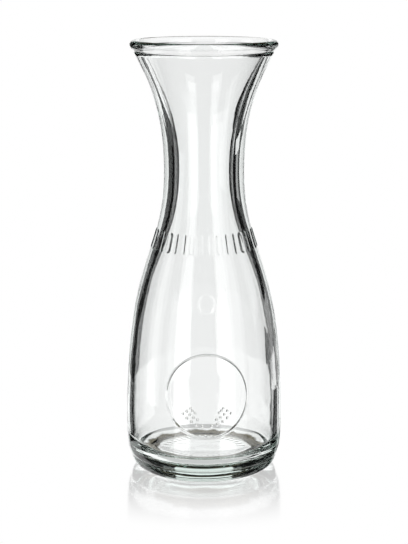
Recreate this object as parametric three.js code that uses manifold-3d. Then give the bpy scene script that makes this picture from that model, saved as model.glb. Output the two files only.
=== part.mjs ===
// Quarter-litre pouring carafe, pressed and blown from one gob of clear glass.
// Millimetres, +Z up, origin at the centre of the flat ring that it stands on.
// The front, which carries the round medallion, faces -Y.

import * as THREE from 'three';
import { mergeVertices } from 'three/addons/utils/BufferGeometryUtils.js';
import Module from 'manifold-3d';

// Overall sizes
const HEIGHT = 187;
const BODY_RADIUS = 34.3;
const WAIST_RADIUS = 17.3;
const WAIST_BELOW_RIM = 55.5;
const LIP_RADIUS = 31.65;

// Foot and heel: a shallow push-up, a flat standing ring, a tight corner round the
// foot, and a slow heel that widens from the foot to the full body
const PUSH_UP_DEPTH = 1.8;
const STANDING_RING_WIDTH = 3.9;
const FOOT_WIDTH = 4.8;
const FOOT_HEIGHT = 5.9;
const FOOT_FLARE = new THREE.Vector2(1.37, 1.24);
const HEEL_STEP = 2.1;
const HEEL_HEIGHT = 19.4;
const HEEL_TUCK = 7.7;

// Body and shoulder: the wall stands straight above the heel, then leans in.
// The fullness and the hold are shares of the shoulder's rise.
const STRAIGHT_HEIGHT = 3.6;
const BELLY_FULLNESS = 0.66;
const WAIST_HOLD = 0.345;

// Flared mouth and rolled lip. The flare hold is a share of the flare's rise.
const FLARE_ANGLE = THREE.MathUtils.degToRad(26);
const FLARE_HOLD = 0.53;
const FLARE_RUN_OUT = 13.2;
const LIP_ROUND = 1.95;
const LIP_UNDERCUT_ANGLE = THREE.MathUtils.degToRad(-40);
const LIP_OVERHANG = 1.85;
const LIP_SEAM_DROP = 5.1;
const LIP_GROOVE = 0.35;

// Glass thickness
const BODY_WALL = 3.3;
const WAIST_WALL = 4.8;
const FLOOR_THICKNESS = 5.6;
const INNER_HEEL_WIDTH = 10;
const INNER_HEEL_HEIGHT = 8.5;

// Raised work on the outside
const RELIEF_HEIGHT = 0.5;
const RELIEF_ROOT = 1;
const MEDALLION_RADIUS = 18.4;
const MEDALLION_RIM = 1;
const MEDALLION_ABOVE_HEEL = 1.9;
const SWAG_ROWS = [
  { inset: 5.6, beads: 5, start: THREE.MathUtils.degToRad(9) },
  { inset: 7.7, beads: 4, start: THREE.MathUtils.degToRad(22) },
  { inset: 9.8, beads: 3, start: THREE.MathUtils.degToRad(36) },
];
const SWAG_END = THREE.MathUtils.degToRad(54);
const BEAD_RADIUS = 0.7;
const BOSS_RADIUS = 4.3;
const BOSS_RIM = 0.7;
const COLLAR_BELOW_WAIST = 29;
const COLLAR_MARK_LENGTH = 8;
const COLLAR_MARK_WIDTHS = [1, 2.3, 1];
const COLLAR_REPEATS = 6;
const COLLAR_SPAN = Math.PI;

// Facets
const TURN_STEPS = 48;
const FOOT_STEPS = 4;
const HEEL_STEPS = 4;
const SHOULDER_STEPS = 11;
const FLARE_STEPS = 8;
const LIP_OUTER_STEPS = 4;
const LIP_INNER_STEPS = 3;
const INNER_FLARE_STEPS = 6;
const INNER_SHOULDER_STEPS = 9;
const INNER_HEEL_STEPS = 4;
const RING_STEPS = 32;
const MARK_STEPS = 6;
const BEAD_STEPS = 6;
const STAMP_START = 5;
const WELD_DISTANCE = 1e-4;

const footRadius = BODY_RADIUS - HEEL_STEP;
const standingRadius = footRadius - FOOT_WIDTH;
const pushUpRadius = standingRadius - STANDING_RING_WIDTH;
const bellyTop = HEEL_HEIGHT + STRAIGHT_HEIGHT;
const waistHeight = HEIGHT - WAIST_BELOW_RIM;
const lipSeamHeight = HEIGHT - LIP_SEAM_DROP;
const lipSeamRadius = LIP_RADIUS - LIP_OVERHANG;
const lipCentre = new THREE.Vector2(LIP_RADIUS - LIP_ROUND, HEIGHT - LIP_ROUND);
const floorHeight = PUSH_UP_DEPTH + FLOOR_THICKNESS;
const bodyBore = BODY_RADIUS - BODY_WALL;
const waistBore = WAIST_RADIUS - WAIST_WALL;
const medallionHeight = HEEL_HEIGHT + MEDALLION_ABOVE_HEEL + MEDALLION_RADIUS;
const collarHeight = waistHeight - COLLAR_BELOW_WAIST;
const medallionTop = medallionHeight + MEDALLION_RADIUS;
const bossHeight = (medallionTop + collarHeight - COLLAR_MARK_LENGTH / 2) / 2;

const wasm = await Module();
wasm.setup();

function arc(centre, radiusX, radiusZ, from, to, steps) {
  const curve = new THREE.EllipseCurve(centre.x, centre.y, radiusX, radiusZ, from, to, to < from);
  return curve.getPoints(steps);
}

// A curve between two points that leaves and arrives along the given handles.
function sweep(start, startHandle, end, endHandle, steps) {
  const curve = new THREE.CubicBezierCurve(
    start,
    start.clone().add(startHandle),
    end.clone().add(endHandle),
    end,
  );
  return curve.getPoints(steps);
}

// The handles of the flare where it runs out under the lip, and of the waist and
// the belly. Outside and inside share them, so the wall thickens evenly.
const runOut = new THREE.Vector2(-Math.sin(FLARE_ANGLE), -Math.cos(FLARE_ANGLE));
runOut.multiplyScalar(FLARE_RUN_OUT);
const waistUp = new THREE.Vector2(0, FLARE_HOLD * (lipSeamHeight - waistHeight));
const waistDown = new THREE.Vector2(0, -WAIST_HOLD * (waistHeight - bellyTop));
const bellyUp = new THREE.Vector2(0, BELLY_FULLNESS * (waistHeight - bellyTop));

// The underside, from the axis to the inner edge of the standing ring.
function pushUp() {
  return [
    new THREE.Vector2(0, PUSH_UP_DEPTH),
    new THREE.Vector2(pushUpRadius - PUSH_UP_DEPTH, PUSH_UP_DEPTH),
    new THREE.Vector2(pushUpRadius, 0),
  ];
}

// The outside, from the edge of the standing ring up to the seam under the lip.
function outerWall() {
  const footCentre = new THREE.Vector2(standingRadius, FOOT_HEIGHT);
  const footEdge = new THREE.Vector2(footRadius, FOOT_HEIGHT);
  const heelTop = new THREE.Vector2(BODY_RADIUS, HEEL_HEIGHT);
  const heelTuck = new THREE.Vector2(0, -HEEL_TUCK);
  const foot = arc(footCentre, FOOT_WIDTH, FOOT_HEIGHT, -Math.PI / 2, 0, FOOT_STEPS);
  const heel = sweep(footEdge, FOOT_FLARE, heelTop, heelTuck, HEEL_STEPS);
  const belly = new THREE.Vector2(BODY_RADIUS, bellyTop);
  const waist = new THREE.Vector2(WAIST_RADIUS, waistHeight);
  const seam = new THREE.Vector2(lipSeamRadius, lipSeamHeight);
  const shoulder = sweep(belly, bellyUp, waist, waistDown, SHOULDER_STEPS);
  const flare = sweep(waist, waistUp, seam, runOut, FLARE_STEPS);
  return [...foot, ...heel.slice(1), ...shoulder, ...flare.slice(1)];
}

// The lip, from the groove above its seam over the top and down to the bore.
function lip() {
  const top = Math.PI / 2;
  const groove = new THREE.Vector2(lipSeamRadius - LIP_GROOVE, lipSeamHeight + LIP_GROOVE);
  const outside = arc(lipCentre, LIP_ROUND, LIP_ROUND, LIP_UNDERCUT_ANGLE, top, LIP_OUTER_STEPS);
  const inside = arc(lipCentre, LIP_ROUND, LIP_ROUND, top, Math.PI, LIP_INNER_STEPS);
  return [groove, ...outside, ...inside.slice(1)];
}

// The inside, from the lip down to the middle of the floor.
function innerWall() {
  const mouth = new THREE.Vector2(lipCentre.x - LIP_ROUND, lipCentre.y);
  const waist = new THREE.Vector2(waistBore, waistHeight);
  const belly = new THREE.Vector2(bodyBore, bellyTop);
  const heelCentre = new THREE.Vector2(bodyBore - INNER_HEEL_WIDTH, floorHeight + INNER_HEEL_HEIGHT);
  const flare = sweep(mouth, runOut, waist, waistUp, INNER_FLARE_STEPS);
  const shoulder = sweep(waist, waistDown, belly, bellyUp, INNER_SHOULDER_STEPS);
  const heel = arc(
    heelCentre, INNER_HEEL_WIDTH, INNER_HEEL_HEIGHT, 0, -Math.PI / 2, INNER_HEEL_STEPS,
  );
  return [...flare.slice(1), ...shoulder.slice(1), ...heel, new THREE.Vector2(0, floorHeight)];
}

// A profile of (radius, height) points turned once round the Z axis.
function turned(profile) {
  const geometry = new THREE.LatheGeometry(profile, TURN_STEPS);
  geometry.rotateX(Math.PI / 2);
  return geometry;
}

function solid(geometry) {
  geometry.deleteAttribute('normal');
  geometry.deleteAttribute('uv');
  const merged = mergeVertices(geometry, WELD_DISTANCE);
  return new wasm.Manifold(new wasm.Mesh({
    numProp: 3,
    vertProperties: new Float32Array(merged.attributes.position.array),
    triVerts: new Uint32Array(merged.index.array),
  }));
}

function geometryOf(manifold) {
  const mesh = manifold.getMesh();
  const geometry = new THREE.BufferGeometry();
  geometry.setAttribute('position', new THREE.BufferAttribute(mesh.vertProperties, 3));
  geometry.setIndex(new THREE.BufferAttribute(mesh.triVerts, 1));
  geometry.computeVertexNormals();
  return geometry;
}

function vessel() {
  return solid(turned([...pushUp(), ...outerWall(), ...lip(), ...innerWall()]));
}

// A sleeve of glass that follows the outside wall, from just inside its skin
// to the top of the raised work. Whatever is stamped out of it is relief.
function reliefSleeve() {
  const wall = outerWall().filter((point) => point.y >= HEEL_HEIGHT && point.y <= waistHeight);
  const skin = wall.map((point) => new THREE.Vector2(point.x + RELIEF_HEIGHT, point.y));
  const root = wall.map((point) => new THREE.Vector2(point.x - RELIEF_ROOT, point.y)).reverse();
  return solid(turned([...skin, ...root, skin[0].clone()]));
}

// A flat outline pushed outwards through the front wall. The outline's x runs
// round the body as an arc length at BODY_RADIUS, so its sides aren't squeezed.
function stamp(shape, height) {
  const geometry = new THREE.ExtrudeGeometry(shape, {
    depth: BODY_RADIUS, bevelEnabled: false, curveSegments: RING_STEPS / 2,
  });
  const position = geometry.attributes.position;
  for (let i = 0; i < position.count; i += 1) {
    const turn = position.getX(i) / BODY_RADIUS;
    const reach = STAMP_START + position.getZ(i);
    const z = height + position.getY(i);
    position.setXYZ(i, reach * Math.sin(turn), -reach * Math.cos(turn), z);
  }
  return solid(geometry);
}

function ring(radius, width) {
  const shape = new THREE.Shape().absarc(0, 0, radius, 0, 2 * Math.PI, false);
  shape.holes.push(new THREE.Path().absarc(0, 0, radius - width, 0, 2 * Math.PI, true));
  return shape;
}

// A round peg that points straight out from the axis at a turn and a height.
function bead(turn, height) {
  const reach = BODY_RADIUS + STAMP_START;
  const geometry = new THREE.CylinderGeometry(BEAD_RADIUS, BEAD_RADIUS, reach, BEAD_STEPS);
  geometry.translate(0, -reach / 2, 0);
  geometry.rotateZ(turn);
  geometry.translate(0, 0, height);
  return solid(geometry);
}

// Two sprays of beads in the lower half of the medallion, one on each side.
function swag() {
  return [-1, 1].flatMap((side) => SWAG_ROWS.flatMap(({ inset, beads, start }) => {
    const radius = MEDALLION_RADIUS - inset;
    return Array.from({ length: beads }, (_, i) => {
      const angle = start + (SWAG_END - start) * i / (beads - 1);
      const turn = side * radius * Math.sin(angle) / BODY_RADIUS;
      return bead(turn, medallionHeight - radius * Math.cos(angle));
    });
  }));
}

// One upright mark of the collar: an oval bar pushed straight out from the axis.
function collarMark(width, turn) {
  const outline = new THREE.Shape().absellipse(
    0, 0, width / 2, COLLAR_MARK_LENGTH / 2, 0, 2 * Math.PI, false,
  );
  const geometry = new THREE.ExtrudeGeometry(outline, {
    depth: BODY_RADIUS, bevelEnabled: false, curveSegments: MARK_STEPS / 2,
  });
  geometry.rotateX(Math.PI / 2);
  geometry.rotateZ(turn);
  geometry.translate(0, 0, collarHeight);
  return solid(geometry);
}

// The collar runs round the front of the shoulder only.
function collar() {
  const count = COLLAR_REPEATS * COLLAR_MARK_WIDTHS.length;
  return Array.from({ length: count }, (_, i) => {
    const width = COLLAR_MARK_WIDTHS[i % COLLAR_MARK_WIDTHS.length];
    return collarMark(width, COLLAR_SPAN * ((i + 0.5) / count - 0.5));
  });
}

function relief() {
  const sleeve = reliefSleeve();
  const stamps = [
    stamp(ring(MEDALLION_RADIUS, MEDALLION_RIM), medallionHeight),
    stamp(ring(BOSS_RADIUS, BOSS_RIM), bossHeight),
    ...swag(),
    ...collar(),
  ];
  return stamps.map((each) => each.intersect(sleeve));
}

const clearGlass = new THREE.MeshStandardMaterial({
  name: 'clear_glass',
  color: 0xeef3f0,
  roughness: 0.05,
  metalness: 0,
  transparent: true,
  opacity: 0.35,
});

const glass = relief().reduce((whole, each) => whole.add(each), vessel());

const glassCarafe = new THREE.Mesh(geometryOf(glass), clearGlass);
glassCarafe.name = 'glass_carafe';

const carafe = new THREE.Group();
carafe.add(glassCarafe);

export default carafe;
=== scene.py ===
"""Clear glass pouring carafe on a pale glossy table, in a light tent. Metres, +Z up, front at -Y."""

import math

import bmesh
import bpy
import numpy as np
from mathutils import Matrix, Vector


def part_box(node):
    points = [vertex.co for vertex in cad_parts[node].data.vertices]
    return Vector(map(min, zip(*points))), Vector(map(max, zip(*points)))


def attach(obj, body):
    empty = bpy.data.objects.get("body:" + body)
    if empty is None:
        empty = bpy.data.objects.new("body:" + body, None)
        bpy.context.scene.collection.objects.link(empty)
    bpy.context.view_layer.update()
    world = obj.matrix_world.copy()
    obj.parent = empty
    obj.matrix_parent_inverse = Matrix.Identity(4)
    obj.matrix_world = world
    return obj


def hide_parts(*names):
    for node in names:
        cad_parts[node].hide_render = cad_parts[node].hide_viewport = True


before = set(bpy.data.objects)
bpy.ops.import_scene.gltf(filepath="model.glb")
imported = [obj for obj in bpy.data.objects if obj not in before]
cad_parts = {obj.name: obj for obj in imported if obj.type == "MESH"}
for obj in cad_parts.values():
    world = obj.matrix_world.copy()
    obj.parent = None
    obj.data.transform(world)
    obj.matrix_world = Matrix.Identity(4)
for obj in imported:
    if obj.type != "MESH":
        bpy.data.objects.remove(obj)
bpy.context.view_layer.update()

# --- Sizes of the glass: the overall ones come from the frame ---------------------------------

NODE = "glass_carafe"
_, node_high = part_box(NODE)
HEIGHT = node_high.z
BODY_RADIUS = node_high.x
WAIST_RADIUS = 0.0173
WAIST_HEIGHT = HEIGHT - 0.0555
LIP_RADIUS = 0.03165

PUSH_UP_DEPTH = 0.0018
STANDING_RING_WIDTH = 0.0039
FOOT_WIDTH = 0.0048
FOOT_HEIGHT = 0.0059
FOOT_FLARE = (0.00137, 0.00124)
HEEL_HEIGHT = 0.0194
HEEL_TUCK = (0, -0.0077)
STRAIGHT_HEIGHT = 0.0036
BELLY_TOP = HEEL_HEIGHT + STRAIGHT_HEIGHT
BELLY_FULLNESS = 0.66
WAIST_HOLD = 0.345

FLARE_ANGLE = math.radians(26)
FLARE_HOLD = 0.53
FLARE_RUN_OUT = 0.0132
LIP_ROUND = 0.00195
LIP_UNDERCUT_ANGLE = math.radians(-40)
LIP_SEAM_RADIUS = LIP_RADIUS - 0.00185
LIP_SEAM_HEIGHT = HEIGHT - 0.0051
LIP_GROOVE = 0.00035

BODY_WALL = 0.0033
WAIST_WALL = 0.0048
FLOOR_HEIGHT = PUSH_UP_DEPTH + 0.0056
INNER_HEEL_WIDTH = 0.010
INNER_HEEL_HEIGHT = 0.0085

HEEL_STEP = 0.0021
FOOT_RADIUS = BODY_RADIUS - HEEL_STEP
STANDING_RADIUS = FOOT_RADIUS - FOOT_WIDTH
PUSH_UP_RADIUS = STANDING_RADIUS - STANDING_RING_WIDTH
EASE = 0.0001
EASE_DROP = 0.00003

# --- How finely each stretch of the section is drawn ------------------------------------------

PUSH_UP_RINGS = 14
FOOT_STEPS = 16
HEEL_STEPS = 20
STRAIGHT_STEPS = 4
SHOULDER_STEPS = 110
FLARE_STEPS = 26
LIP_STEPS = 22
INNER_FLARE_STEPS = 20
INNER_SHOULDER_STEPS = 34
INNER_HEEL_STEPS = 16
FLOOR_RINGS = 8
TURN_STEPS = 180
MERGE_DISTANCE = 2e-6

# --- Raised work. A share is a part of the relief height --------------------------------------

RELIEF_HEIGHT = 0.0005
SHARP_EDGE = 0.00013
RING_EDGE = 0.0002
SOFT_EDGE = 0.0004
RING_STEPS = 128

MEDALLION_RADIUS = 0.0184
MEDALLION_RIM = 0.0006
MEDALLION_ABOVE_HEEL = 0.0019
MEDALLION_HEIGHT = HEEL_HEIGHT + MEDALLION_ABOVE_HEEL + MEDALLION_RADIUS
SIDE_SHARE = 0.25
TOP_SHARE = 1.7
TOP_START = MEDALLION_RADIUS * 0.3
SHARES_END = MEDALLION_RADIUS * 0.9

# Each row of beads has its radius, the beads in half of it, and where it starts from the lowest point.
SWAG_ROWS = (
    (0.0128, 5, math.radians(9)),
    (0.0107, 4, math.radians(22)),
    (0.0086, 3, math.radians(36)),
)
SWAG_END = math.radians(54)
BEAD_RADIUS = 0.00045
BEAD_SHARE = 1.0

BOSS_RADIUS = 0.0043
BOSS_RIM = 0.0007
BOSS_HEIGHT = 0.0783
BOSS_SHARE = 0.4

COLLAR_BELOW_WAIST = 0.029
COLLAR_HEIGHT = WAIST_HEIGHT - COLLAR_BELOW_WAIST
COLLAR_RADIUS = 0.0218
COLLAR_REPEATS = 6
COLLAR_SPAN = math.pi
COLLAR_SHARE = 0.6
COLLAR_MARK_LENGTH = 0.008
COLLAR_BAR_WIDTH = 0.001
COLLAR_OVAL_WIDTH = 0.0023

BASE_TICKS = 40
BASE_TICK_RADIUS = 0.0175
BASE_TICK_LENGTH = 0.0022
BASE_TICK_WIDTH = 0.0007
BASE_SHARE = 0.4

# The faces of the raised work are split in a border round it, which narrows from one split to the next.
# The third split is only made from the heel to just above the medallion.
COARSE_MARGIN = 0.0009
MIDDLE_MARGIN = 0.0004
FINE_MARGIN = 0.0002
FINE_BORDER = 0.001
FINE_TOP = MEDALLION_HEIGHT + MEDALLION_RADIUS + FINE_BORDER

# A point counts as raised, or as one of the outer skin, where its stored value is above these.
ZONE_FLOOR = 0.001
OUTSIDE_FLOOR = 0.99

# --- Values stored on the points of the glass --------------------------------------------------

OUTSIDE = "outside"
WALL_HEIGHT = "wall_height"
ZONE = "raised_zone"

# --- Glass --------------------------------------------------------------------------------------

GLASS_IOR = 1.52
ABSORPTION_COLOR = (0.6, 0.85, 0.75, 1)
ABSORPTION_DENSITY = 8.0

# Painted shade: a near-black colour on the inside of the heel ring, below this height, in place of the dark
# surroundings the heel refracts.
PAINTED_HEEL_SHADE_TOP = 0.0115
PAINTED_HEEL_SHADE = (0.05, 0.043, 0.028, 1)
HEEL_RING_RADIUS = 0.0238
HEEL_RING_WIDTH = 0.0052
HEEL_RING_WAVINESS = 0.007
HEEL_RING_OFF_CENTRE = 0.0034
HEEL_RING_CORE = 0.35
HEEL_RING_EDGE = 0.65
HEEL_WAVE_SCALE = 130

SLOW_WAVES = 1.0
SLOW_WAVE_STRETCH = (1, 1, 0.35)
SLOW_WAVE_SCALE = 75
RIPPLES = 0.06
RIPPLE_STRETCH = (1, 1, 0.6)
RIPPLE_SCALE = 320
INSIDE_WAVES_SHARE = 3.0
WAVE_DEPTH = 0.00008

# --- Stage --------------------------------------------------------------------------------------

TABLE_HALF = 3.0
TABLE_ROUGHNESS = 0.1
POLISH = 0.45
POLISH_START = 0.028
POLISH_END = 0.085
CARD_STEP = 4

# Each card has its turns and its heights in degrees, its level, its distance and, if not white, its colour.
CARDS = (
    ("tent_cloth", (0, 360), (-90, 90), 0.006, 4.0),
    ("back_wall_top", (74, 106), (2, 20), 0.95, 3.5),
    ("back_wall_high", (67, 111), (-10, 2), 1.0, 3.5),
    ("back_wall_middle", (73, 111), (-13.5, -10), 1.02, 3.5),
    ("back_wall_low", (71.3, 120), (-44, -13.5), 1.06, 3.5),
    ("left_glow", (98, 115), (-40, -13.5), 1.22, 3.4),
    ("right_glow", (73, 84), (-40, -13.5), 1.15, 3.4),
    ("right_gap_low", (57, 66), (-26, -14), 0.9, 3.5),
    ("right_gap_middle", (37, 56), (-14, -10), 0.9, 3.5),
    ("right_gap_high", (43, 55), (-10, -1), 0.35, 3.5),
    ("warm_board", (58, 122), (29, 52), 0.25, 3.5, (1.0, 0.85, 0.58)),
    ("low_left_wall", (122, 158), (-44, -20.5), 1.0, 3.5),
    ("left_wall", (176, 196), (-14, 30), 1.2, 3.5),
    ("right_front_wall", (318, 336), (-30, 30), 1.0, 3.5),
    ("table_behind", (24, 156), (-86, -44), 0.66, 3.6),
    ("table_below", (0, 360), (-90, -60), 0.3, 3.8),
    ("left_soft_box", (225, 247), (-30, 40), 2.0, 3.0),
    ("right_soft_box", (294, 318), (-30, 40), 2.0, 3.0),
)

# --- View ---------------------------------------------------------------------------------------

CAMERA_DISTANCE = 0.650
CAMERA_HEIGHT = 0.2241
CAMERA_PITCH = math.radians(11.95)
CAMERA_LENS = 100.64
CAMERA_SENSOR = 36
CAMERA_TURN = math.radians(-2.2)
GLASS_BOUNCES = 32
GLOSS_BOUNCES = 16


# --- Small helpers --------------------------------------------------------------------------

def node(tree, kind, inputs=None, **settings):
    """Adds a node, sets its options and fills its inputs with values or with other nodes' outputs."""
    made = tree.nodes.new(kind)
    for name, value in settings.items():
        setattr(made, name, value)
    for name, value in (inputs or {}).items():
        socket = made.inputs[name]
        if isinstance(value, bpy.types.NodeSocket):
            tree.links.new(value, socket)
        else:
            socket.default_value = value
    return made


def maths(tree, operation, *values):
    """One Math node, with its inputs in order."""
    made = node(tree, "ShaderNodeMath", dict(enumerate(values)), operation=operation)
    return made.outputs[0]


def new_tree(name, sockets):
    """An empty Geometry Nodes tree with a geometry input, other named inputs and a geometry output."""
    tree = bpy.data.node_groups.new(name, "GeometryNodeTree")
    tree.is_modifier = True
    tree.interface.new_socket(name="Geometry", in_out="INPUT", socket_type="NodeSocketGeometry")
    for label, kind in sockets:
        tree.interface.new_socket(name=label, in_out="INPUT", socket_type=kind)
    tree.interface.new_socket(name="Geometry", in_out="OUTPUT", socket_type="NodeSocketGeometry")
    return tree, tree.nodes.new("NodeGroupInput"), tree.nodes.new("NodeGroupOutput")


def apply_tree(obj, tree, values):
    """Runs a tree on an object, with its inputs set by name, and keeps the result as a plain mesh."""
    modifier = obj.modifiers.new(tree.name, "NODES")
    modifier.node_group = tree
    for item in tree.interface.items_tree:
        if item.in_out == "INPUT" and item.name in values:
            modifier[item.identifier] = values[item.name]
    graph = bpy.context.evaluated_depsgraph_get()
    made = bpy.data.meshes.new_from_object(
        obj.evaluated_get(graph), preserve_all_data_layers=True, depsgraph=graph,
    )
    obj.modifiers.remove(modifier)
    obj.data = made


# --- The wall's section ---------------------------------------------------------------------

def arc(centre, radii, start, end, steps):
    """Points along part of an ellipse, from one angle to another."""
    points = []
    for i in range(steps + 1):
        angle = start + (end - start) * i / steps
        points.append((centre[0] + radii[0] * math.cos(angle), centre[1] + radii[1] * math.sin(angle)))
    return points


def sweep(start, start_handle, end, end_handle, steps):
    """A cubic curve between two points that leaves and arrives along the given handles."""
    corners = (
        Vector(start),
        Vector(start) + Vector(start_handle),
        Vector(end) + Vector(end_handle),
        Vector(end),
    )
    points = []
    for i in range(steps + 1):
        t = i / steps
        weights = ((1 - t) ** 3, 3 * t * (1 - t) ** 2, 3 * t * t * (1 - t), t ** 3)
        point = sum((w * c for w, c in zip(weights, corners)), Vector((0, 0)))
        points.append((point.x, point.y))
    return points


RUN_OUT = (-FLARE_RUN_OUT * math.sin(FLARE_ANGLE), -FLARE_RUN_OUT * math.cos(FLARE_ANGLE))
WAIST_UP = (0, FLARE_HOLD * (LIP_SEAM_HEIGHT - WAIST_HEIGHT))
WAIST_DOWN = (0, -WAIST_HOLD * (WAIST_HEIGHT - BELLY_TOP))
BELLY_UP = (0, BELLY_FULLNESS * (WAIST_HEIGHT - BELLY_TOP))
LIP_CENTRE = (LIP_RADIUS - LIP_ROUND, HEIGHT - LIP_ROUND)


def underside():
    """From the axis out to the standing ring, with the corners of the push-up eased."""
    flat = PUSH_UP_RADIUS - PUSH_UP_DEPTH
    rings = [(flat * i / PUSH_UP_RINGS, PUSH_UP_DEPTH) for i in range(PUSH_UP_RINGS)]
    corner = [(flat - 2 * EASE, PUSH_UP_DEPTH), (flat + EASE, PUSH_UP_DEPTH - EASE_DROP)]
    ring = [
        (PUSH_UP_RADIUS - EASE, EASE_DROP),
        (PUSH_UP_RADIUS + 2 * EASE, 0),
        (STANDING_RADIUS - 10 * EASE, 0),
    ]
    return rings + corner + ring


def outer_wall():
    """From the standing ring up to the groove below the lip."""
    foot = arc((STANDING_RADIUS, FOOT_HEIGHT), (FOOT_WIDTH, FOOT_HEIGHT), -math.pi / 2, 0, FOOT_STEPS)
    heel = sweep((FOOT_RADIUS, FOOT_HEIGHT), FOOT_FLARE, (BODY_RADIUS, HEEL_HEIGHT), HEEL_TUCK, HEEL_STEPS)
    straight = [
        (BODY_RADIUS, HEEL_HEIGHT + (BELLY_TOP - HEEL_HEIGHT) * i / STRAIGHT_STEPS)
        for i in range(1, STRAIGHT_STEPS)
    ]
    waist = (WAIST_RADIUS, WAIST_HEIGHT)
    shoulder = sweep((BODY_RADIUS, BELLY_TOP), BELLY_UP, waist, WAIST_DOWN, SHOULDER_STEPS)
    flare = sweep(waist, WAIST_UP, (LIP_SEAM_RADIUS, LIP_SEAM_HEIGHT), RUN_OUT, FLARE_STEPS)
    return foot + heel[1:] + straight + shoulder + flare[1:]


def lip():
    """The groove, then over the rolled lip to where the inside starts."""
    groove = [
        (LIP_SEAM_RADIUS - EASE, LIP_SEAM_HEIGHT + 1.2 * EASE),
        (LIP_SEAM_RADIUS - LIP_GROOVE, LIP_SEAM_HEIGHT + LIP_GROOVE),
        (LIP_SEAM_RADIUS - LIP_GROOVE + EASE, LIP_SEAM_HEIGHT + 2 * LIP_GROOVE),
    ]
    return groove + arc(LIP_CENTRE, (LIP_ROUND, LIP_ROUND), LIP_UNDERCUT_ANGLE, math.pi, LIP_STEPS)


def inner_wall():
    """From the lip down the inside to the middle of the floor."""
    mouth = (LIP_CENTRE[0] - LIP_ROUND, LIP_CENTRE[1])
    waist = (WAIST_RADIUS - WAIST_WALL, WAIST_HEIGHT)
    bore = BODY_RADIUS - BODY_WALL
    flat = bore - INNER_HEEL_WIDTH
    flare = sweep(mouth, RUN_OUT, waist, WAIST_UP, INNER_FLARE_STEPS)
    shoulder = sweep(waist, WAIST_DOWN, (bore, BELLY_TOP), BELLY_UP, INNER_SHOULDER_STEPS)
    heel = arc(
        (flat, FLOOR_HEIGHT + INNER_HEEL_HEIGHT),
        (INNER_HEEL_WIDTH, INNER_HEEL_HEIGHT),
        0,
        -math.pi / 2,
        INNER_HEEL_STEPS,
    )
    floor = [(flat * (1 - i / FLOOR_RINGS), FLOOR_HEIGHT) for i in range(1, FLOOR_RINGS + 1)]
    return flare[1:] + shoulder[1:] + heel + floor


def section_object():
    """The section as a chain of points. Each one stores its height up the wall and its side of the glass.

    Under the base, where there is no height, a point stores its distance in from the standing ring,
    below zero.
    """
    foot = underside()
    wall = outer_wall()
    rim = lip()
    inside = inner_wall()
    points = foot + wall + rim + inside
    mesh = bpy.data.meshes.new("section")
    mesh.from_pydata([(r, 0, z) for r, z in points], [(i, i + 1) for i in range(len(points) - 1)], [])
    heights = [r - STANDING_RADIUS for r, z in foot] + [z for r, z in wall + rim + inside]
    sides = [1.0] * (len(foot) + len(wall)) + [0.0] * (len(rim) + len(inside))
    mesh.attributes.new(WALL_HEIGHT, "FLOAT", "POINT").data.foreach_set("value", heights)
    mesh.attributes.new(OUTSIDE, "FLOAT", "POINT").data.foreach_set("value", sides)
    made = bpy.data.objects.new("carafe_glass", mesh)
    bpy.context.scene.collection.objects.link(made)
    return made


# --- Geometry Nodes: turning the section --------------------------------------------------

def turning_tree():
    """Turns a chain of section points once round the Z axis into one closed skin."""
    tree, start, end = new_tree("turn_section", [("Turn Steps", "NodeSocketInt")])
    section = start.outputs["Geometry"]
    count = node(tree, "GeometryNodeAttributeDomainSize", {"Geometry": section}).outputs["Point Count"]
    columns = maths(tree, "ADD", start.outputs["Turn Steps"], 1)
    grid = node(tree, "GeometryNodeMeshGrid", {
        "Size X": 1, "Size Y": 1, "Vertices X": columns, "Vertices Y": count,
    })
    place = node(tree, "ShaderNodeSeparateXYZ", {0: node(tree, "GeometryNodeInputPosition").outputs[0]})
    across = maths(tree, "ADD", place.outputs["X"], 0.5)
    along = maths(tree, "ADD", place.outputs["Y"], 0.5)
    row = maths(tree, "ROUND", maths(tree, "MULTIPLY", along, maths(tree, "SUBTRACT", count, 1)))
    turn = maths(tree, "MULTIPLY_ADD", across, 2 * math.pi, math.pi / 2)
    made = grid.outputs["Mesh"]
    for name in (WALL_HEIGHT, OUTSIDE):
        value = node(tree, "GeometryNodeInputNamedAttribute", {"Name": name}, data_type="FLOAT")
        sampled = node(tree, "GeometryNodeSampleIndex", {
            "Geometry": section, "Value": value.outputs["Attribute"], "Index": row,
        }, data_type="FLOAT")
        made = node(tree, "GeometryNodeStoreNamedAttribute", {
            "Geometry": made, "Name": name, "Value": sampled.outputs[0],
        }, data_type="FLOAT").outputs[0]
    sampled = node(tree, "GeometryNodeSampleIndex", {
        "Geometry": section, "Value": node(tree, "GeometryNodeInputPosition").outputs[0], "Index": row,
    }, data_type="FLOAT_VECTOR")
    point = node(tree, "ShaderNodeSeparateXYZ", {0: sampled.outputs[0]})
    turned = node(tree, "ShaderNodeCombineXYZ", {
        "X": maths(tree, "MULTIPLY", point.outputs["X"], maths(tree, "COSINE", turn)),
        "Y": maths(tree, "MULTIPLY", point.outputs["X"], maths(tree, "SINE", turn)),
        "Z": point.outputs["Z"],
    })
    made = node(tree, "GeometryNodeSetPosition", {"Geometry": made, "Position": turned.outputs[0]})
    made = node(tree, "GeometryNodeMergeByDistance", {
        "Geometry": made.outputs[0], "Distance": MERGE_DISTANCE,
    })
    made = node(tree, "GeometryNodeSetShadeSmooth", {"Geometry": made.outputs[0]})
    tree.links.new(made.outputs[0], end.inputs["Geometry"])
    return tree


# --- Geometry Nodes: the raised work ----------------------------------------------------------

def curve_edges(tree, curve):
    """The curve as bare edges."""
    return node(tree, "GeometryNodeCurveToMesh", {"Curve": curve}).outputs[0]


def moved(tree, geometry, place):
    """The geometry, moved by that much."""
    return node(tree, "GeometryNodeTransform", {"Geometry": geometry, "Translation": place}).outputs[0]


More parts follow.
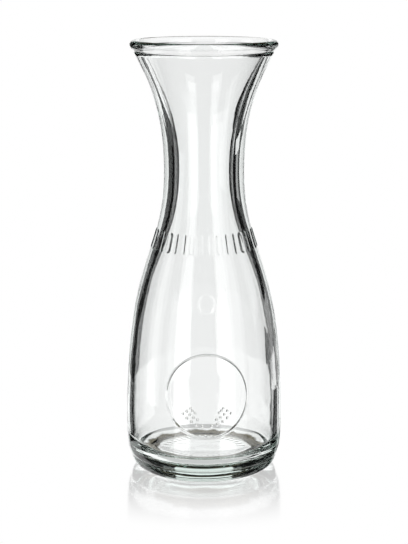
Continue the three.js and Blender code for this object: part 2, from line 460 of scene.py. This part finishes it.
def ring_line(tree, radius, height):
    """A circle at that height up the wall."""
    circle = node(tree, "GeometryNodeCurvePrimitiveCircle", {"Resolution": RING_STEPS, "Radius": radius})
    return moved(tree, curve_edges(tree, circle.outputs["Curve"]), (0, height, 0))


def bead_spray(tree, radius, beads, start, end):
    """Part of a circle of beads in the medallion, between two angles from its lowest point."""
    row = node(tree, "GeometryNodeCurveArc", {
        "Resolution": beads,
        "Radius": radius,
        "Start Angle": start - math.pi / 2,
        "Sweep Angle": end - start,
    })
    return moved(tree, curve_edges(tree, row.outputs["Curve"]), (0, MEDALLION_HEIGHT, 0))


def upright_marks(tree, count, radius, height, length, span=2 * math.pi, offset=0.0):
    """Upright strokes round the wall, laid out flat at that radius. Span and offset are in radians."""
    pitch = span * radius / count
    first = -span * radius / 2 + pitch / 2 + offset * radius
    stroke = node(tree, "GeometryNodeCurvePrimitiveLine", {
        "Start": (0, -length / 2, 0), "End": (0, length / 2, 0),
    })
    places = node(tree, "GeometryNodeMeshLine", {
        "Count": count, "Start Location": (first, height, 0), "Offset": (pitch, 0, 0),
    })
    copies = node(tree, "GeometryNodeInstanceOnPoints", {
        "Points": places.outputs[0], "Instance": curve_edges(tree, stroke.outputs["Curve"]),
    })
    return node(tree, "GeometryNodeRealizeInstances", {"Geometry": copies.outputs[0]}).outputs[0]


def joined(tree, parts):
    """Several meshes as one."""
    join = tree.nodes.new("GeometryNodeJoinGeometry")
    for part in parts:
        tree.links.new(part, join.inputs[0])
    return join.outputs[0]


def flat_place(tree, radius):
    """Each point of the glass, unrolled: arc length at that radius, and height up the wall."""
    place = node(tree, "ShaderNodeSeparateXYZ", {0: node(tree, "GeometryNodeInputPosition").outputs[0]})
    turn = maths(tree, "ARCTAN2", place.outputs["X"], maths(tree, "MULTIPLY", place.outputs["Y"], -1))
    height = node(tree, "GeometryNodeInputNamedAttribute", {"Name": WALL_HEIGHT}, data_type="FLOAT")
    return node(tree, "ShaderNodeCombineXYZ", {
        "X": maths(tree, "MULTIPLY", turn, radius), "Y": height.outputs["Attribute"],
    }).outputs[0]


def raised(tree, target, element, radius, half_width, edge, margin):
    """1 on a stroke or bead, 0 away from it, with a rounded edge between."""
    near = node(tree, "GeometryNodeProximity", {
        "Geometry": target, "Sample Position": flat_place(tree, radius),
    }, target_element=element)
    outer = maths(tree, "ADD", margin, half_width + edge)
    return node(tree, "ShaderNodeMapRange", {
        "Value": near.outputs["Distance"], 1: outer, 2: max(0.0, half_width - edge), 3: 0.0, 4: 1.0,
    }, interpolation_type="SMOOTHSTEP").outputs[0]


def collar_marks(tree, width, offset):
    """One mark of that width in each repeat of the collar. Their round ends reach the full length."""
    return upright_marks(
        tree,
        COLLAR_REPEATS,
        COLLAR_RADIUS,
        COLLAR_HEIGHT,
        COLLAR_MARK_LENGTH - width,
        COLLAR_SPAN,
        offset,
    )


def rim_share(tree):
    """The medallion's ring is lowest at its sides and highest at its top."""
    place = node(tree, "ShaderNodeSeparateXYZ", {0: flat_place(tree, BODY_RADIUS)})
    above = maths(tree, "SUBTRACT", place.outputs["Y"], MEDALLION_HEIGHT)
    side = node(tree, "ShaderNodeMapRange", {
        "Value": maths(tree, "ABSOLUTE", above), 1: 0.0, 2: SHARES_END, 3: SIDE_SHARE, 4: 1.0,
    })
    top = node(tree, "ShaderNodeMapRange", {
        "Value": above, 1: TOP_START, 2: SHARES_END, 3: 1.0, 4: TOP_SHARE,
    })
    return maths(tree, "MULTIPLY", side.outputs[0], top.outputs[0])


def raised_work_tree():
    """Lifts the medallion, beads, boss, collar and ticks off the outer skin, and stores where they are."""
    tree, start, end = new_tree("raised_work", [
        ("Lift", "NodeSocketFloat"), ("Margin", "NodeSocketFloat"), ("Glass", "NodeSocketMaterial"),
    ])
    margin = start.outputs["Margin"]
    medallion = ring_line(tree, MEDALLION_RADIUS - MEDALLION_RIM / 2, MEDALLION_HEIGHT)
    boss = ring_line(tree, BOSS_RADIUS - BOSS_RIM / 2, BOSS_HEIGHT)
    swag = joined(tree, [
        bead_spray(tree, radius, beads, *ends)
        for radius, beads, first in SWAG_ROWS
        for ends in ((-SWAG_END, -first), (first, SWAG_END))
    ])
    third = COLLAR_SPAN / COLLAR_REPEATS / 3
    bars = joined(tree, [
        collar_marks(tree, COLLAR_BAR_WIDTH, offset) for offset in (-third, third)
    ])
    ovals = collar_marks(tree, COLLAR_OVAL_WIDTH, 0.0)
    ticks = upright_marks(
        tree, BASE_TICKS, BASE_TICK_RADIUS, BASE_TICK_RADIUS - STANDING_RADIUS, BASE_TICK_LENGTH,
    )
    marks = [
        (rim_share(tree), medallion, "EDGES", BODY_RADIUS, MEDALLION_RIM / 2, RING_EDGE),
        (BOSS_SHARE, boss, "EDGES", BODY_RADIUS, BOSS_RIM / 2, SOFT_EDGE),
        (BEAD_SHARE, swag, "POINTS", BODY_RADIUS, BEAD_RADIUS, SHARP_EDGE),
        (COLLAR_SHARE, bars, "EDGES", COLLAR_RADIUS, COLLAR_BAR_WIDTH / 2, SOFT_EDGE),
        (COLLAR_SHARE, ovals, "EDGES", COLLAR_RADIUS, COLLAR_OVAL_WIDTH / 2, SOFT_EDGE),
        (BASE_SHARE, ticks, "EDGES", BASE_TICK_RADIUS, BASE_TICK_WIDTH / 2, SOFT_EDGE),
    ]
    heights = [
        maths(tree, "MULTIPLY", raised(tree, *mark, margin), share) for share, *mark in marks
    ]
    total = heights[0]
    for height in heights[1:]:
        total = maths(tree, "MAXIMUM", total, height)
    side = node(tree, "GeometryNodeInputNamedAttribute", {"Name": OUTSIDE}, data_type="FLOAT")
    total = maths(tree, "MULTIPLY", total, side.outputs["Attribute"])
    made = node(tree, "GeometryNodeStoreNamedAttribute", {
        "Geometry": start.outputs["Geometry"], "Name": ZONE, "Value": total,
    }, data_type="FLOAT").outputs[0]
    lift = maths(tree, "MULTIPLY", total, start.outputs["Lift"])
    offset = node(tree, "ShaderNodeVectorMath", {
        0: node(tree, "GeometryNodeInputNormal").outputs[0], "Scale": lift,
    }, operation="SCALE")
    made = node(tree, "GeometryNodeSetPosition", {"Geometry": made, "Offset": offset.outputs[0]}).outputs[0]
    made = node(tree, "GeometryNodeRealizeInstances", {"Geometry": made}).outputs[0]
    made = node(tree, "GeometryNodeSetMaterial", {
        "Geometry": made, "Material": start.outputs["Glass"],
    }).outputs[0]
    tree.links.new(made, end.inputs["Geometry"])
    return tree


def refine(obj, wall, low, high):
    """Splits faces of the raised work into four, between two heights, and keeps new points on the wall."""
    mesh = bmesh.new()
    mesh.from_mesh(obj.data)
    zone = mesh.verts.layers.float[ZONE]
    side = mesh.verts.layers.float[OUTSIDE]
    chosen = [
        f for f in mesh.faces
        if max(v[zone] for v in f.verts) > ZONE_FLOOR and low <= f.verts[0].co.z <= high
    ]
    edges = list({edge for face in chosen for edge in face.edges})
    bmesh.ops.subdivide_edges(mesh, edges=edges, cuts=1, use_grid_fill=True)
    heights = [z for r, z in wall]
    radii = [r for r, z in wall]
    for vert in mesh.verts:
        if vert[side] > OUTSIDE_FLOOR and vert.co.z > HEEL_HEIGHT:
            radius = float(np.interp(vert.co.z, heights, radii))
            stretch = radius / math.hypot(vert.co.x, vert.co.y)
            vert.co.x *= stretch
            vert.co.y *= stretch
    mesh.to_mesh(obj.data)
    mesh.free()


def make_glass(material):
    """The whole carafe as one closed mesh, from the section, the turning and the raised work."""
    glass = section_object()
    apply_tree(glass, turning_tree(), {"Turn Steps": TURN_STEPS})
    raised_work = raised_work_tree()
    fine_wall = outer_wall()
    passes = (
        (COARSE_MARGIN, 0, HEIGHT),
        (MIDDLE_MARGIN, 0, HEIGHT),
        (FINE_MARGIN, HEEL_HEIGHT, FINE_TOP),
    )
    for margin, low, high in passes:
        apply_tree(glass, raised_work, {"Lift": 0.0, "Margin": margin, "Glass": material})
        refine(glass, fine_wall, low, high)
    apply_tree(glass, raised_work, {"Lift": RELIEF_HEIGHT, "Margin": 0.0, "Glass": material})
    for polygon in glass.data.polygons:
        polygon.use_smooth = True
    return glass


# --- Materials ------------------------------------------------------------------------------

def new_group(name, inputs, outputs):
    """An empty shader node group with named inputs and outputs."""
    tree = bpy.data.node_groups.new(name, "ShaderNodeTree")
    for label, kind in inputs:
        tree.interface.new_socket(name=label, in_out="INPUT", socket_type=kind)
    for label, kind in outputs:
        tree.interface.new_socket(name=label, in_out="OUTPUT", socket_type=kind)
    return tree, tree.nodes.new("NodeGroupInput"), tree.nodes.new("NodeGroupOutput")


def object_noise(tree, stretch, scale, detail):
    """Smooth noise fixed to the object. Stretch squeezes it along each axis."""
    place = node(tree, "ShaderNodeTexCoord").outputs["Object"]
    scaled = node(tree, "ShaderNodeVectorMath", {0: place, 1: stretch}, operation="MULTIPLY")
    return node(tree, "ShaderNodeTexNoise", {
        "Vector": scaled.outputs[0], "Scale": scale, "Detail": detail, "Roughness": 0.5,
    }).outputs["Fac"]


def painted_heel_shade_group():
    """Painted shade: the thick ring where the floor turns up into the wall is painted darker, wavy and a
    little off centre.
    """
    tree, start, end = new_group("painted_heel_shade", [
        ("Tint", "NodeSocketColor"),
        ("Ring Radius", "NodeSocketFloat"),
        ("Ring Width", "NodeSocketFloat"),
        ("Waviness", "NodeSocketFloat"),
        ("Off Centre", "NodeSocketFloat"),
    ], [("Color", "NodeSocketColor")])
    place = node(tree, "ShaderNodeSeparateXYZ", {0: node(tree, "ShaderNodeTexCoord").outputs["Object"]})
    forward = maths(tree, "ADD", place.outputs["Y"], start.outputs["Off Centre"])
    flat = node(tree, "ShaderNodeCombineXYZ", {"X": place.outputs["X"], "Y": forward}).outputs[0]
    radius = node(tree, "ShaderNodeVectorMath", {0: flat}, operation="LENGTH").outputs["Value"]
    wave = maths(tree, "SUBTRACT", object_noise(tree, (1, 1, 1), HEEL_WAVE_SCALE, 3), 0.5)
    radius = maths(tree, "MULTIPLY_ADD", wave, start.outputs["Waviness"], radius)
    away = maths(tree, "ABSOLUTE", maths(tree, "SUBTRACT", radius, start.outputs["Ring Radius"]))
    share = maths(tree, "DIVIDE", away, start.outputs["Ring Width"])
    ring = node(tree, "ShaderNodeMapRange", {
        "Value": share, 1: HEEL_RING_CORE, 2: HEEL_RING_EDGE, 3: 1.0, 4: 0.0,
    }, interpolation_type="SMOOTHSTEP").outputs[0]
    low = maths(tree, "LESS_THAN", place.outputs["Z"], PAINTED_HEEL_SHADE_TOP)
    outside = node(tree, "ShaderNodeAttribute", attribute_name=OUTSIDE).outputs["Fac"]
    inside = maths(tree, "SUBTRACT", 1, outside)
    painted_shade_mask = maths(tree, "MULTIPLY", maths(tree, "MULTIPLY", ring, low), inside)
    # The ring is painted near black: painted shade, not a colour of the glass.
    mix = node(tree, "ShaderNodeMix", {
        0: painted_shade_mask, 6: (1, 1, 1, 1), 7: start.outputs["Tint"],
    }, data_type="RGBA")
    tree.links.new(mix.outputs[2], end.inputs["Color"])
    return tree


def mould_waves_group():
    """Slow waves down the wall, finer ripples, and a rougher skin on the inside than on the outside."""
    tree, start, end = new_group("mould_waves", [
        ("Slow Waves", "NodeSocketFloat"),
        ("Ripples", "NodeSocketFloat"),
        ("Inside Share", "NodeSocketFloat"),
    ], [("Height", "NodeSocketFloat")])
    slow_noise = object_noise(tree, SLOW_WAVE_STRETCH, SLOW_WAVE_SCALE, 1)
    slow = maths(tree, "MULTIPLY", slow_noise, start.outputs["Slow Waves"])
    fine_noise = object_noise(tree, RIPPLE_STRETCH, RIPPLE_SCALE, 2)
    fine = maths(tree, "MULTIPLY", fine_noise, start.outputs["Ripples"])
    outside = node(tree, "ShaderNodeAttribute", attribute_name=OUTSIDE).outputs["Fac"]
    share = node(tree, "ShaderNodeMapRange", {
        "Value": outside, 1: 0.0, 2: 1.0, 3: start.outputs["Inside Share"], 4: 1.0,
    }).outputs[0]
    height = maths(tree, "MULTIPLY", maths(tree, "ADD", slow, fine), share)
    tree.links.new(height, end.inputs["Height"])
    return tree


def make_glass_material():
    """Clear glass: perfectly polished, with painted shade in the heel, wavy from the mould, green where it
    is thick.
    """
    material = bpy.data.materials.new("clear_glass")
    material.use_nodes = True
    tree = material.node_tree
    shader = tree.nodes["Principled BSDF"]
    shader.inputs["Roughness"].default_value = 0.0
    shader.inputs["IOR"].default_value = GLASS_IOR
    shader.inputs["Transmission Weight"].default_value = 1.0
    # Painted shade in the heel, given as the glass's base colour.
    painted_shade = node(tree, "ShaderNodeGroup", node_tree=painted_heel_shade_group())
    painted_shade.inputs["Tint"].default_value = PAINTED_HEEL_SHADE
    painted_shade.inputs["Ring Radius"].default_value = HEEL_RING_RADIUS
    painted_shade.inputs["Ring Width"].default_value = HEEL_RING_WIDTH
    painted_shade.inputs["Waviness"].default_value = HEEL_RING_WAVINESS
    painted_shade.inputs["Off Centre"].default_value = HEEL_RING_OFF_CENTRE
    tree.links.new(painted_shade.outputs["Color"], shader.inputs["Base Color"])
    waves = node(tree, "ShaderNodeGroup", node_tree=mould_waves_group())
    waves.inputs["Slow Waves"].default_value = SLOW_WAVES
    waves.inputs["Ripples"].default_value = RIPPLES
    waves.inputs["Inside Share"].default_value = INSIDE_WAVES_SHARE
    bump = node(tree, "ShaderNodeBump", {
        "Strength": 1.0, "Distance": WAVE_DEPTH, "Height": waves.outputs["Height"],
    })
    tree.links.new(bump.outputs["Normal"], shader.inputs["Normal"])
    absorb = node(tree, "ShaderNodeVolumeAbsorption", {
        "Color": ABSORPTION_COLOR, "Density": ABSORPTION_DENSITY,
    })
    tree.links.new(absorb.outputs[0], tree.nodes["Material Output"].inputs["Volume"])
    return material


# --- Stage -----------------------------------------------------------------------------------

def make_floor():
    """A white table that glows evenly and is only polished close to the carafe."""
    mesh = bpy.data.meshes.new("table_top")
    corners = [(x * TABLE_HALF, y * TABLE_HALF, 0) for x, y in ((-1, -1), (1, -1), (1, 1), (-1, 1))]
    mesh.from_pydata(corners, [], [(0, 1, 2, 3)])
    floor = bpy.data.objects.new("table_top", mesh)
    bpy.context.scene.collection.objects.link(floor)
    material = bpy.data.materials.new("white_table")
    material.use_nodes = True
    tree = material.node_tree
    tree.nodes.remove(tree.nodes["Principled BSDF"])
    glow = node(tree, "ShaderNodeEmission", {"Color": (1, 1, 1, 1), "Strength": 1.0})
    gloss = node(tree, "ShaderNodeBsdfGlossy", {"Color": (1, 1, 1, 1), "Roughness": TABLE_ROUGHNESS})
    place = node(tree, "ShaderNodeTexCoord").outputs["Object"]
    away = node(tree, "ShaderNodeVectorMath", {0: place}, operation="LENGTH").outputs["Value"]
    polish = node(tree, "ShaderNodeMapRange", {
        "Value": away, 1: POLISH_START, 2: POLISH_END, 3: POLISH, 4: 0.0,
    }, interpolation_type="SMOOTHSTEP")
    mix = node(tree, "ShaderNodeMixShader", {
        0: polish.outputs[0], 1: glow.outputs[0], 2: gloss.outputs[0],
    })
    tree.links.new(mix.outputs[0], tree.nodes["Material Output"].inputs["Surface"])
    mesh.materials.append(material)
    floor.visible_transmission = False
    floor.visible_glossy = False
    floor.visible_diffuse = False


def glow_material(name, level, color=(1, 1, 1)):
    """Glass sees the card at its own level. The gloss of the table sees it as bright as the table."""
    material = bpy.data.materials.new(name)
    material.use_nodes = True
    tree = material.node_tree
    tree.nodes.remove(tree.nodes["Principled BSDF"])
    path = tree.nodes.new("ShaderNodeLightPath")
    sharp = maths(tree, "SUBTRACT", 1, path.outputs["Is Singular Ray"])
    straight = maths(tree, "LESS_THAN", path.outputs["Transmission Depth"], 0.5)
    table = maths(tree, "MULTIPLY", maths(tree, "MULTIPLY", path.outputs["Is Glossy Ray"], sharp), straight)
    strength = maths(tree, "MULTIPLY_ADD", table, 1 - level, level)
    glow = node(tree, "ShaderNodeEmission", {"Color": (*color, 1), "Strength": strength})
    tree.links.new(glow.outputs[0], tree.nodes["Material Output"].inputs["Surface"])
    material.cycles.emission_sampling = "NONE"
    return material


def make_card(name, turns, heights, level, distance, color=(1, 1, 1)):
    """A curved card round the table, between two turns and two heights in degrees. The camera misses it.

    Turns run anticlockwise from +X, seen from above, and are counted from the camera's own turn.
    """
    across = max(2, round((turns[1] - turns[0]) / CARD_STEP))
    up = max(2, round((heights[1] - heights[0]) / CARD_STEP))
    points = []
    for row in range(up + 1):
        height = math.radians(heights[0] + (heights[1] - heights[0]) * row / up)
        for column in range(across + 1):
            turn = math.radians(turns[0] + (turns[1] - turns[0]) * column / across) + CAMERA_TURN
            points.append((
                distance * math.cos(height) * math.cos(turn),
                distance * math.cos(height) * math.sin(turn),
                distance * math.sin(height),
            ))
    width = across + 1
    faces = [
        (a, a + 1, a + 1 + width, a + width)
        for row in range(up) for a in range(row * width, row * width + across)
    ]
    mesh = bpy.data.meshes.new(name)
    mesh.from_pydata(points, [], faces)
    mesh.materials.append(glow_material(name, level, color))
    card = bpy.data.objects.new(name, mesh)
    bpy.context.scene.collection.objects.link(card)
    card.visible_camera = False
    card.visible_diffuse = False
    card.visible_shadow = False


def make_tent():
    for card in CARDS:
        make_card(*card)


def make_world():
    """A plain white sky."""
    world = bpy.data.worlds.new("pale_studio")
    world.use_nodes = True
    world.node_tree.nodes["Background"].inputs["Color"].default_value = (1, 1, 1, 1)
    bpy.context.scene.world = world


# --- Camera -----------------------------------------------------------------------------------

def make_camera():
    data = bpy.data.cameras.new("camera")
    data.lens = CAMERA_LENS
    data.sensor_width = CAMERA_SENSOR
    camera = bpy.data.objects.new("camera", data)
    bpy.context.scene.collection.objects.link(camera)
    camera.location = (
        CAMERA_DISTANCE * math.sin(CAMERA_TURN), -CAMERA_DISTANCE * math.cos(CAMERA_TURN), CAMERA_HEIGHT,
    )
    camera.rotation_euler = (math.pi / 2 - CAMERA_PITCH, 0, CAMERA_TURN)
    bpy.context.scene.camera = camera


make_camera()
make_world()
make_floor()
make_tent()
glass_material = make_glass_material()
carafe = make_glass(glass_material)
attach(carafe, "root")
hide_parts(NODE)

scene = bpy.context.scene
scene.view_settings.view_transform = "Standard"
scene.cycles.max_bounces = GLASS_BOUNCES
scene.cycles.transmission_bounces = GLASS_BOUNCES
scene.cycles.glossy_bounces = GLOSS_BOUNCES
